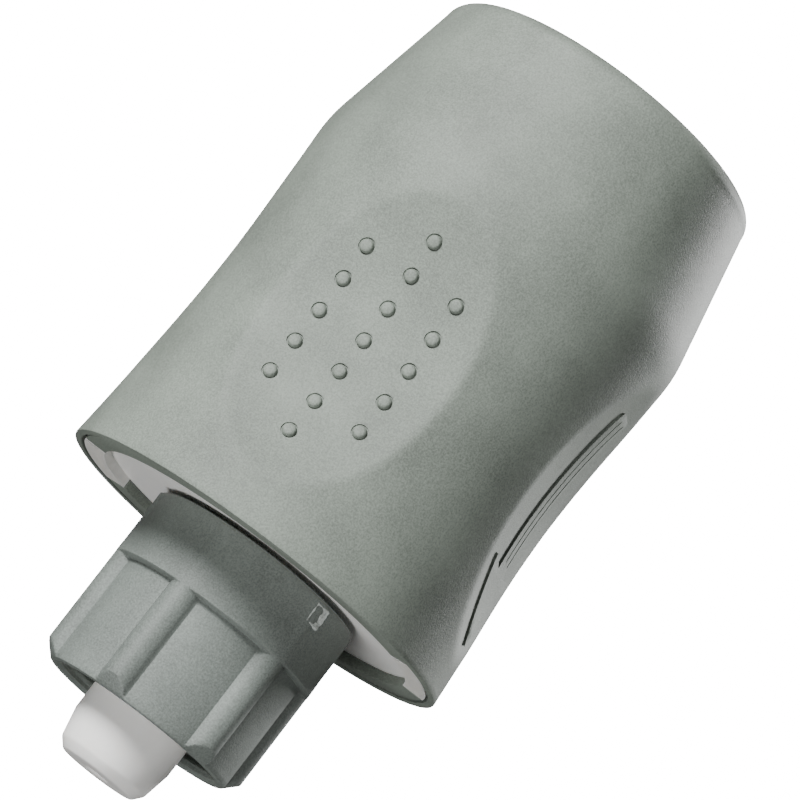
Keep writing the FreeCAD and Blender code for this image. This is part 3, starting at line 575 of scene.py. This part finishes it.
class HousingShape:
    """Radius of the housing's skin at any height and azimuth."""

    def __init__(self, sizes):
        self.sizes = sizes
        self.total = TOP_Z - RIM_Z
        self.side = circle_through(
            (RIM_R, 0), (sizes.waist_radius, sizes.waist_height),
            (sizes.shoulder_radius, sizes.shoulder_height),
        )

    def body(self, up):
        """Radius of the round body at a height above the rim."""
        s = self.sizes
        x, y, radius = self.side
        waist = x - math.sqrt(max(radius ** 2 - (up - y) ** 2, 0.0))
        slope = (s.top_radius - s.shoulder_radius) / (self.total - s.shoulder_height)
        taper = s.shoulder_radius + slope * (up - s.shoulder_height)
        return soft_min(waist, taper, s.shoulder_blend)

    def pads(self):
        s = self.sizes
        dotted = [(a, s.dotted_depth, s.dotted_scoop) for a in (-math.pi / 2, math.pi / 2)]
        arrowed = [(a, s.arrow_depth, s.arrow_scoop) for a in (0.0, math.pi)]
        return dotted + arrowed

    def pad_surface(self, depth, scoop, up):
        """Distance from the axis to a pad's surface, measured square to the pad."""
        above = up - self.sizes.pad_height
        return depth + scoop - math.sqrt(scoop ** 2 - above ** 2)

    def scooped(self, radius, azimuth, up, inset=0.0):
        """The radius once the four pads are hollowed out of it."""
        for middle, depth, scoop in self.pads():
            turn = math.remainder(azimuth - middle, FULL_TURN)
            if abs(turn) < 1.2:
                pad = (self.pad_surface(depth, scoop, up) - inset) / math.cos(turn)
                radius = soft_min(radius, pad, self.sizes.pad_blend)
        return radius


def housing_outline(shape):
    """Closed outline of the housing's wall as (radius, z), with the opening for the end cover."""
    s = shape.sizes
    total = shape.total
    side_top = total - s.top_round
    outer = [(shape.body(up), RIM_Z + up) for up in between(0.35 * MM, side_top, 136)]
    outer[0:0] = [(RIM_R - 0.35 * MM, RIM_Z), (RIM_R - 0.1 * MM, RIM_Z + 0.1 * MM)]
    centre_r = shape.body(side_top) - s.top_round
    crown = [
        (centre_r + s.top_round * math.cos(a), RIM_Z + side_top + s.top_round * math.sin(a))
        for a in between(0.12, math.pi / 2, 9)
    ]
    hole_r, ledge_r = COVER_R + 0.2 * MM, COVER_R - 2.0 * MM
    seat = [
        (hole_r + 0.3 * MM, TOP_Z), (hole_r, TOP_Z - 0.3 * MM), (hole_r, COVER_Z), (ledge_r, COVER_Z),
        (ledge_r, COVER_Z - 2 * MM),
    ]
    inner = [
        (shape.body(up) - s.wall, RIM_Z + up)
        for up in between(total - 4.2 * MM, BASE_TOP_Z - RIM_Z, 40)
    ]
    lip_r = high("bezel_ring").y + 0.45 * MM
    lip = [(lip_r, BASE_TOP_Z), (lip_r, RIM_Z + 0.15 * MM), (lip_r + 0.15 * MM, RIM_Z)]
    return outer + crown + seat + inner + lip


def distance_to_outline(y, z, outline):
    """Distance from a point to the nearest side of a closed outline."""
    point = Vector((y, z))
    nearest = math.inf
    for start, end in zip(outline, outline[1:] + outline[:1]):
        foot, share = intersect_point_line(point, start, end)
        share = min(max(share, 0.0), 1.0)
        nearest = min(nearest, (Vector(start).lerp(Vector(end), share) - point).length)
    return nearest


def arrow_outline(sizes):
    """Corners of the arrow as (y, z), with its tip towards the valve."""
    middle = RIM_Z + sizes.pad_height
    tip, barb, tail = middle - 23.2 * MM, middle - 10.6 * MM, middle + 18.3 * MM
    half_head, half_shaft, sweep, corner = 8.4 * MM, 3.0 * MM, 0.8 * MM, 0.9 * MM
    right = [(0, tip), (half_head, barb), (half_shaft, barb - sweep)]
    right += [
        (half_shaft - corner + corner * math.cos(a), tail - corner + corner * math.sin(a))
        for a in between(0, math.pi / 2, 5)
    ]
    return right + [(-y, z) for y, z in reversed(right[1:])]


def raised_arrow(shape):
    """A raised arrow on the pad that faces +X: a rounded edge, a flat top and two sunk lines."""
    s = shape.sizes
    outline = arrow_outline(s)
    edge = 0.14 * MM
    bm = bmesh.new()
    face = bm.faces.new([bm.verts.new((0, y, z)) for y, z in outline])
    bmesh.ops.inset_region(bm, faces=[face], thickness=edge, use_even_offset=True)
    heights = [z for _, z in outline]
    line_ends = (RIM_Z + s.pad_height - 9.1 * MM, RIM_Z + s.pad_height + 16.8 * MM)
    cuts = [((0, 0, z), (0, 0, 1)) for z in between(min(heights), max(heights), 44)[1:-1] + list(line_ends)]
    cuts += [((0, side * y * MM, 0), (0, 1, 0)) for side in (-1, 1) for y in (0.95, 1.05, 1.35, 1.45)]
    for middle, normal in cuts:
        everything = bm.verts[:] + bm.edges[:] + bm.faces[:]
        bmesh.ops.bisect_plane(bm, geom=everything, plane_co=middle, plane_no=normal)
    grown = bmesh.ops.extrude_face_region(bm, geom=bm.faces[:])
    top = {v for v in grown["geom"] if isinstance(v, bmesh.types.BMVert)}
    for vert in bm.verts:
        y, z = vert.co.y, vert.co.z
        surface = shape.pad_surface(s.arrow_depth, s.arrow_scoop, z - RIM_Z)
        rise = -0.4 * MM
        if vert in top:
            on_line = 1.0 * MM < abs(y) < 1.4 * MM and line_ends[0] - 1e-7 < z < line_ends[1] + 1e-7
            rise = s.arrow_rise - (s.arrow_line if on_line else 0.0)
            if distance_to_outline(y, z, outline) < 0.5 * edge:
                rise = s.arrow_rise - edge
        vert.co.x = surface + rise
    return bm


def dot_places(sizes):
    """Each dot as its pad's azimuth, its distance across the pad and its height above the rim."""
    for facing in (-math.pi / 2, math.pi / 2):
        for column, count in enumerate((5, 7, 5)):
            for row in range(count):
                up = sizes.pad_height + (row - (count - 1) / 2) * sizes.dot_pitch_up
                yield facing, (column - 1) * sizes.dot_pitch_across, up


def on_dotted_pad(shape, outline, steps, facing, across, up):
    """A turned bmesh from (radius, height) points, standing square on a dotted pad."""
    s = shape.sizes
    surface = shape.pad_surface(s.dotted_depth, s.dotted_scoop, up)
    bm = spun(outline, steps)
    lean = math.asin((up - s.pad_height) / s.dotted_scoop)
    place = Matrix.Rotation(facing, 4, "Z") @ Matrix.Translation((surface, across, RIM_Z + up))
    place = place @ Matrix.Rotation(math.pi / 2 + lean, 4, "Y")
    bmesh.ops.transform(bm, matrix=place, verts=bm.verts)
    return bm


def cut_moats(piece, shape):
    """Cuts the dots' moats out of the skin with one boolean, then removes the cutter."""
    s = shape.sizes
    pit = [(0, 0.5 * MM), (s.moat_radius, 0.5 * MM), (s.moat_radius, -s.moat_depth), (0, -s.moat_depth)]
    cutter = mesh_object("cutter", merged([on_dotted_pad(shape, pit, 24, *spot) for spot in dot_places(s)]))
    cut = piece.modifiers.new("moats", "BOOLEAN")
    cut.operation = "DIFFERENCE"
    cut.solver = "EXACT"
    cut.object = cutter
    with bpy.context.temp_override(object=piece, active_object=piece, selected_objects=[piece]):
        bpy.ops.object.modifier_apply(modifier=cut.name)
    bpy.data.objects.remove(cutter)


class HEAD_OT_housing(bpy.types.Operator):
    """Builds the waisted housing with its four hollowed grip pads"""

    bl_idname = "head.housing"
    bl_label = "Housing"

    def execute(self, context):
        shape = HousingShape(settings(context).housing)
        bm = spun(housing_outline(shape), 320)
        for vert in bm.verts:
            radius, azimuth = polar(vert)
            up = vert.co.z - RIM_Z
            body = shape.body(min(up, shape.total))
            inset = shape.sizes.wall if radius < body - 1.5 * MM else 0.0
            if 4 * MM < up < 62 * MM:
                set_radius(vert, shape.scooped(radius, azimuth, up, inset), azimuth)
        piece = fitted(context, "housing_shell", bm, "housing", "housing_plastic", "outer_housing")
        cut_moats(piece, shape)
        piece.data.shade_smooth()
        piece.data.set_sharp_from_angle(angle=SHARP)
        return {"FINISHED"}


class HEAD_OT_dots(bpy.types.Operator):
    """Builds the raised dots of the two dotted grip pads"""

    bl_idname = "head.dots"
    bl_label = "Grip dots"

    def execute(self, context):
        shape = HousingShape(settings(context).housing)
        radius, rise = shape.sizes.dot_radius, shape.sizes.dot_rise
        outline = [(0, rise), (0.5 * radius, 0.98 * rise), (0.72 * radius, 0.9 * rise)]
        outline += [(0.84 * radius, 0.74 * rise), (0.91 * radius, 0.5 * rise), (radius, 0)]
        outline += [(radius, -0.35 * MM), (0, -0.35 * MM)]
        dots = [on_dotted_pad(shape, outline, 28, *spot) for spot in dot_places(shape.sizes)]
        fitted(context, "grip_dots", merged(dots), "housing", "housing_plastic")
        return {"FINISHED"}


class HEAD_OT_arrows(bpy.types.Operator):
    """Builds the raised arrows of the two plain grip pads, which point to the valve"""

    bl_idname = "head.arrows"
    bl_label = "Grip arrows"

    def execute(self, context):
        shape = HousingShape(settings(context).housing)
        arrows = []
        for azimuth in (0.0, math.pi):
            bm = raised_arrow(shape)
            bmesh.ops.rotate(bm, verts=bm.verts, cent=(0, 0, 0), matrix=Matrix.Rotation(azimuth, 3, "Z"))
            arrows.append(bm)
        fitted(context, "grip_arrows", merged(arrows), "housing", "housing_plastic")
        return {"FINISHED"}


# ---- open end ----
def ring_arc(inner, outer, z0, z1, middle, half_angle, steps):
    """A closed solid arc of a flat ring, with its edges rounded."""
    bm = bmesh.new()
    start = middle - half_angle
    corners = [(inner, z0), (outer, z0), (outer, z1), (inner, z1)]
    verts = [bm.verts.new((r * math.cos(start), r * math.sin(start), z)) for r, z in corners]
    face = bm.faces.new(verts)
    bmesh.ops.spin(
        bm, geom=[face], cent=(0, 0, 0), axis=(0, 0, 1), angle=2 * half_angle, steps=steps,
        use_duplicate=False,
    )
    bmesh.ops.remove_doubles(bm, verts=bm.verts, dist=1e-7)
    bevel_sharp(bm, 0.2 * MM)
    return bm


class HEAD_OT_open_end(bpy.types.Operator):
    """Builds the bezel ring and the white base plate with its two lugs, at the housing's open end"""

    bl_idname = "head.open_end"
    bl_label = "Open end"

    def execute(self, context):
        inner, outer = 27.6 * MM, high("bezel_ring").y
        z0, z1 = low("bezel_ring").z, high("bezel_ring").z
        lug = math.radians(18)
        gap = math.radians(0.6)
        bezel = [
            ring_arc(inner, outer, z0, z1 - 0.02 * MM, middle, math.pi / 2 - lug - gap, 72)
            for middle in (math.pi / 2, -math.pi / 2)
        ]
        fitted(context, "bezel_arcs", merged(bezel), "housing", "housing_plastic", "bezel_ring")
        lugs = [ring_arc(inner, outer, z0, z1 + 0.5 * MM, middle, lug, 24) for middle in (0.0, math.pi)]
        fitted(context, "base_lugs", merged(lugs), "housing", "base_plastic")
        dressed(context, "base_plate", "neck_circlip", "plunger_seal", "valve_neck")
        return {"FINISHED"}


# ---- union nut ----
class NutShape:
    """Outer and thread radii of the union nut at any height and azimuth."""

    def __init__(self, sizes):
        self.sizes = sizes
        self.step_z = NUT_Z[1] - sizes.collar_length
        self.rib_axis = sizes.crest_radius - sizes.rib_radius

    def rib_turn(self, azimuth):
        """Angle from the nearest rib."""
        spacing = FULL_TURN / self.sizes.rib_count
        return math.remainder(azimuth - self.sizes.rib_turn, spacing)

    def outer(self, azimuth, z):
        s = self.sizes
        turn = self.rib_turn(azimuth)
        reach = self.rib_axis * math.sin(abs(turn))
        rib = 0.0
        if reach < s.rib_radius:
            rib = self.rib_axis * math.cos(turn) + math.sqrt(s.rib_radius ** 2 - reach ** 2)
        ribbed = soft_max(s.panel_radius, rib, 0.25 * MM)
        swell = math.exp(-(turn / 0.17) ** 2) * (1 - smooth_step(z, self.step_z, NUT_Z[1] - 2 * MM))
        collar = s.collar_radius + (s.crest_radius - s.collar_radius) * swell
        rise = smooth_step(z, self.step_z - 0.15 * MM, self.step_z + 0.15 * MM)
        radius = ribbed + (max(ribbed, collar) - ribbed) * rise
        bevel = s.mouth_radius + (z - NUT_Z[0]) * (s.crest_radius - s.mouth_radius) / s.mouth_bevel
        return soft_min(radius, bevel, 0.12 * MM)

    def thread(self, azimuth, z):
        """Radius of a right-hand thread with flats a quarter and an eighth of the pitch wide."""
        s = self.sizes
        t = (z / s.thread_pitch - azimuth / FULL_TURN) % 1.0
        climb = abs(2 * t - 1)
        depth = min(max((climb - 0.25) / 0.625, 0.0), 1.0)
        begun = smooth_step(z, NUT_Z[0] + 0.6 * MM, NUT_Z[0] + 2 * MM)
        fade = begun * (1 - smooth_step(z, 7.2 * MM, 8.4 * MM))
        return s.thread_minor + (s.thread_major - s.thread_minor) * depth * fade


class HEAD_OT_nut(bpy.types.Operator):
    """Builds the union nut with its ribs, recessed panels, thread and gate mark"""

    bl_idname = "head.nut"
    bl_label = "Union nut"

    def execute(self, context):
        s = settings(context).nut
        shape = NutShape(s)
        z0, z1 = NUT_Z
        step = shape.step_z
        skin = between(z0 + 0.15 * MM, step - 0.3 * MM, 44) + between(step - 0.2 * MM, step + 0.2 * MM, 4)
        skin += between(step + 0.4 * MM, z1 - 0.5 * MM, 18)
        outer = [(s.mouth_radius - 0.15 * MM, z0)] + [(s.crest_radius, z) for z in skin]
        outer += [(s.collar_radius - 0.15 * MM, z1 - 0.15 * MM), (s.collar_radius - 0.5 * MM, z1)]
        bore = [(s.lip_radius + 0.2 * MM, z1), (s.lip_radius, z1 - 0.2 * MM), (s.lip_radius, s.lip_height)]
        bore += [(s.thread_minor + 0.4 * MM, s.lip_height), (s.thread_minor + 0.4 * MM, 8.6 * MM)]
        thread = [(s.thread_minor, z) for z in between(8.5 * MM, z0 + 0.6 * MM, 58)]
        bore += thread + [(s.thread_minor + 0.6 * MM, z0)]
        bm = spun(outer + bore, 480)
        for vert in bm.verts:
            radius, azimuth = polar(vert)
            z = vert.co.z
            if abs(radius - s.crest_radius) < 1e-6:
                set_radius(vert, shape.outer(azimuth, z), azimuth)
            elif abs(radius - s.thread_minor) < 1e-6:
                set_radius(vert, shape.thread(azimuth, z), azimuth)
        fitted(context, "ribbed_nut", bm, "coupling_nut", "nut_plastic", "coupling_nut")
        self.add_gate_mark(context, s)
        dressed(context, "nut_washer")
        return {"FINISHED"}

    def add_gate_mark(self, context, sizes):
        """The rough patch where the moulding's sprue was broken off the collar."""
        azimuth = math.radians(-34.5)
        z = NUT_Z[1] - 2.5 * MM
        bm = bmesh.new()
        bmesh.ops.create_grid(bm, x_segments=9, y_segments=11, size=0.5)
        width, height = 3.2 * MM, 3.8 * MM
        bmesh.ops.scale(bm, vec=(height, width, 1), verts=bm.verts)
        for i, vert in enumerate(bm.verts):
            edge = 2 * max(abs(vert.co.x) / height, abs(vert.co.y) / width)
            rough = math.sin(i * 2.399) * 0.09 * MM + math.sin(i * 5.1) * 0.06 * MM
            vert.co.z = -0.25 * MM if edge > 0.99 else 0.1 * MM + rough + (0.3 * MM if edge > 0.7 else 0.0)
        place = Matrix.Rotation(azimuth, 4, "Z") @ Matrix.Translation((sizes.collar_radius, 0, z))
        place = place @ Matrix.Rotation(math.pi / 2, 4, "Y")
        bmesh.ops.transform(bm, matrix=place, verts=bm.verts)
        mark = fitted(context, "gate_mark", bm, "coupling_nut", "nut_plastic")
        mark.data.materials[0] = sheared_nylon(settings(context).finish)


# ---- plunger ----
class HEAD_OT_plunger(bpy.types.Operator):
    """Builds the white plunger with its turned tip and two guide keys"""

    bl_idname = "head.plunger"
    bl_label = "Plunger"

    def execute(self, context):
        z0, z1 = PLUNGER_Z
        radius, tip_radius, bore, bore_end = 8.4 * MM, 6.2 * MM, 3.05 * MM, -6.5 * MM
        dimple, dimple_top = 2.0 * MM, z0 + 0.8 * MM
        outline = [
            (0, dimple_top), (dimple, dimple_top), (dimple, z0), (tip_radius, z0),
            (radius - 0.9 * MM, z0 + 1.5 * MM), (radius, z0 + 6.0 * MM), (radius, z1), (bore, z1),
            (bore, bore_end), (0, bore_end),
        ]
        bm = spun(outline, 128)
        bevel_sharp(bm, 0.3 * MM, 3)
        keys = []
        for side in (-1, 1):
            key = bmesh.new()
            bmesh.ops.create_cube(key, size=1.0)
            bmesh.ops.scale(key, vec=(2.4 * MM, 3.0 * MM, 4.98 * MM), verts=key.verts)
            bmesh.ops.translate(key, vec=(side * 8.36 * MM, 0, 12.49 * MM), verts=key.verts)
            bevel_sharp(key, 0.25 * MM)
            keys.append(key)
        fitted(context, "white_plunger", merged([bm] + keys), "plunger", "plunger_plastic", "plunger")
        return {"FINISHED"}


# ---- end cover ----
class HEAD_OT_cover(bpy.types.Operator):
    """Builds the end cover, its mode button, lamp window, seal and cell bridge"""

    bl_idname = "head.cover"
    bl_label = "End cover"

    def execute(self, context):
        top = high("end_cover").z
        hole = 5.7 * MM
        skirt_out, skirt_in, groove = 20.9 * MM, 19.4 * MM, 20.2 * MM
        foot, groove_low, groove_high = COVER_Z - 2.9 * MM, COVER_Z - 1.8 * MM, COVER_Z - 0.8 * MM
        outline = [
            (hole, COVER_Z), (skirt_in, COVER_Z), (skirt_in, foot), (skirt_out, foot),
            (skirt_out, groove_low), (groove, groove_low), (groove, groove_high), (skirt_out, groove_high),
            (skirt_out, COVER_Z), (COVER_R, COVER_Z), (COVER_R, top), (hole, top),
        ]
        bm = spun(outline, 192)
        bevel_sharp(bm, 0.25 * MM, 3)
        fitted(context, "cover_disc", bm, "end_cover", "housing_plastic", "end_cover")
        self.add_posts(context)
        self.add_button(context)
        dressed(context, "cover_seal", "status_window", "cell_bridge")
        return {"FINISHED"}

    def add_posts(self, context):
        """The two posts that hold the cell bridge."""
        posts = []
        z0, z1 = high("cell_bridge").z, COVER_Z + 0.3 * MM
        for side in (-1, 1):
            post = spun([(0, z0), (1.4 * MM, z0), (1.4 * MM, z1), (0, z1)], 32)
            bmesh.ops.translate(post, vec=(side * 10.5 * MM, 9.5 * MM, 0), verts=post.verts)
            posts.append(post)
        fitted(context, "bridge_posts", merged(posts), "end_cover", "housing_plastic")

    def add_button(self, context):
        """The dished button with its retaining flange and stem."""
        top = high("mode_button").z
        foot = low("mode_button").z
        flange_low, flange_high = COVER_Z - 1.2 * MM, COVER_Z - 0.1 * MM
        cap, flange, stem, dish_radius, dish = 5.5 * MM, 6.5 * MM, 2.2 * MM, 4.9 * MM, 0.35 * MM
        face = [(r, top - dish + dish * (r / dish_radius) ** 2) for r in between(0, dish_radius, 8)]
        outline = face + [
            (cap, top - 0.1 * MM), (cap, flange_high), (flange, flange_high), (flange, flange_low),
            (stem, flange_low), (stem, foot), (0, foot),
        ]
        bm = spun(outline, 96)
        bevel_sharp(bm, 0.2 * MM, 3)
        fitted(context, "button_cap", bm, "mode_button", "button_plastic", "mode_button")


# ---- inside ----
class HEAD_OT_inside(bpy.types.Operator):
    """Finishes the drive train, the motor, the cells and the board, which keep their CAD shapes"""

    bl_idname = "head.inside"
    bl_label = "Inside"

    def execute(self, context):
        replaced = {"outer_housing", "bezel_ring", "coupling_nut", "plunger", "end_cover", "mode_button"}
        dressed(context, *[node for node in frame["nodes"] if node not in replaced])
        return {"FINISHED"}


# ---- stage ----
class HEAD_OT_stage(bpy.types.Operator):
    """Sets up the white surroundings, the soft lamps and the camera"""

    bl_idname = "head.stage"
    bl_label = "Stage"

    def execute(self, context):
        s = settings(context).stage
        view_turn = self.view_rotation(s)
        origin = Vector((0, 0, RIM_Z))
        along = Vector((math.cos(s.roll), math.sin(s.roll), 0))
        across = Vector((math.sin(s.roll), -math.cos(s.roll), 0))
        rim_seen = along * s.along + across * s.across + Vector((0, 0, -s.distance))
        eye = origin - view_turn @ rim_seen
        camera = bpy.data.objects.new("camera", bpy.data.cameras.new("camera"))
        camera.data.lens = s.lens
        camera.data.sensor_width = 36.0
        camera.data.clip_start = 0.05
        camera.data.clip_end = 20.0
        camera.matrix_world = Matrix.Translation(eye) @ view_turn.to_4x4()
        context.scene.collection.objects.link(camera)
        context.scene.camera = camera
        self.add_lamps(context, view_turn)
        self.add_world(context, s)
        return {"FINISHED"}

    def view_rotation(self, s):
        """Rotation from camera axes to the head's axes."""
        along = Vector((math.cos(s.roll), math.sin(s.roll), 0))
        across = Vector((math.sin(s.roll), -math.cos(s.roll), 0))
        away = Vector((0, 0, -1))
        up_axis = math.cos(s.lean) * along + math.sin(s.lean) * away
        near = math.sin(s.lean) * along - math.cos(s.lean) * away
        x_axis = math.cos(s.spin) * near + math.sin(s.spin) * across
        y_axis = up_axis.cross(x_axis)
        return Matrix((x_axis, y_axis, up_axis))

    def add_lamps(self, context, view_turn):
        """A key lamp above, weak ones below on the left and right, and one behind the right edge."""
        lamps = (
            ("key_lamp", (-0.18, 0.78, 0.58), 0.35, 20.0),
            ("front_lamp", (-0.60, -0.42, 0.70), 0.5, 6.5),
            ("edge_lamp", (0.70, -0.10, -0.71), 0.3, 12.0),
            ("low_lamp", (0.60, -0.66, 0.45), 0.6, 1.6),
        )
        aim = Vector((0, 0, (RIM_Z + TOP_Z) / 2))
        for name, place, size, watts in lamps:
            lamp = bpy.data.objects.new(name, bpy.data.lights.new(name, "AREA"))
            lamp.data.shape = "DISK"
            lamp.data.size = size
            lamp.data.energy = watts
            lamp.location = aim + view_turn @ Vector(place)
            lamp.rotation_mode = "QUATERNION"
            lamp.rotation_quaternion = (aim - lamp.location).to_track_quat("-Z", "Y")
            context.scene.collection.objects.link(lamp)

    def add_world(self, context, s):
        """White surroundings that look bright to the camera and light the head only a little."""
        world = bpy.data.worlds.new("studio")
        world.use_nodes = True
        tree = world.node_tree
        sky = tree.nodes["Background"]
        sky.inputs["Color"].default_value = linear("F8F8F8")
        seen = add_node(tree, "ShaderNodeLightPath").outputs["Is Camera Ray"]
        tree.links.new(span(tree, seen, s.glow, s.white), sky.inputs["Strength"])
        context.scene.world = world


class HEAD_PT_panel(bpy.types.Panel):
    """Lists the head's build steps and settings"""

    bl_idname = "HEAD_PT_panel"
    bl_label = "Actuator head"
    bl_space_type = "VIEW_3D"
    bl_region_type = "UI"
    bl_category = "Actuator"

    def draw(self, context):
        for operator in OPERATORS:
            self.layout.operator(operator.bl_idname)
        groups = settings(context)
        for group in (groups.housing, groups.nut, groups.finish, groups.stage):
            box = self.layout.box()
            for name in group.__annotations__:
                box.prop(group, name)


OPERATORS = (
    HEAD_OT_housing, HEAD_OT_dots, HEAD_OT_arrows, HEAD_OT_open_end, HEAD_OT_nut, HEAD_OT_plunger,
    HEAD_OT_cover, HEAD_OT_inside, HEAD_OT_stage,
)
CLASSES = (HousingSizes, NutSizes, Finishes, StageSizes, HeadSettings) + OPERATORS + (HEAD_PT_panel,)


def register():
    for cls in CLASSES:
        bpy.utils.register_class(cls)
    bpy.types.Scene.actuator_head = PointerProperty(type=HeadSettings)


def unregister():
    del bpy.types.Scene.actuator_head
    for cls in reversed(CLASSES):
        bpy.utils.unregister_class(cls)


def main():
    register()
    bpy.ops.head.housing()
    bpy.ops.head.dots()
    bpy.ops.head.arrows()
    bpy.ops.head.open_end()
    bpy.ops.head.nut()
    bpy.ops.head.plunger()
    bpy.ops.head.cover()
    bpy.ops.head.inside()
    bpy.ops.head.stage()


if __name__ == "__main__":
    main()
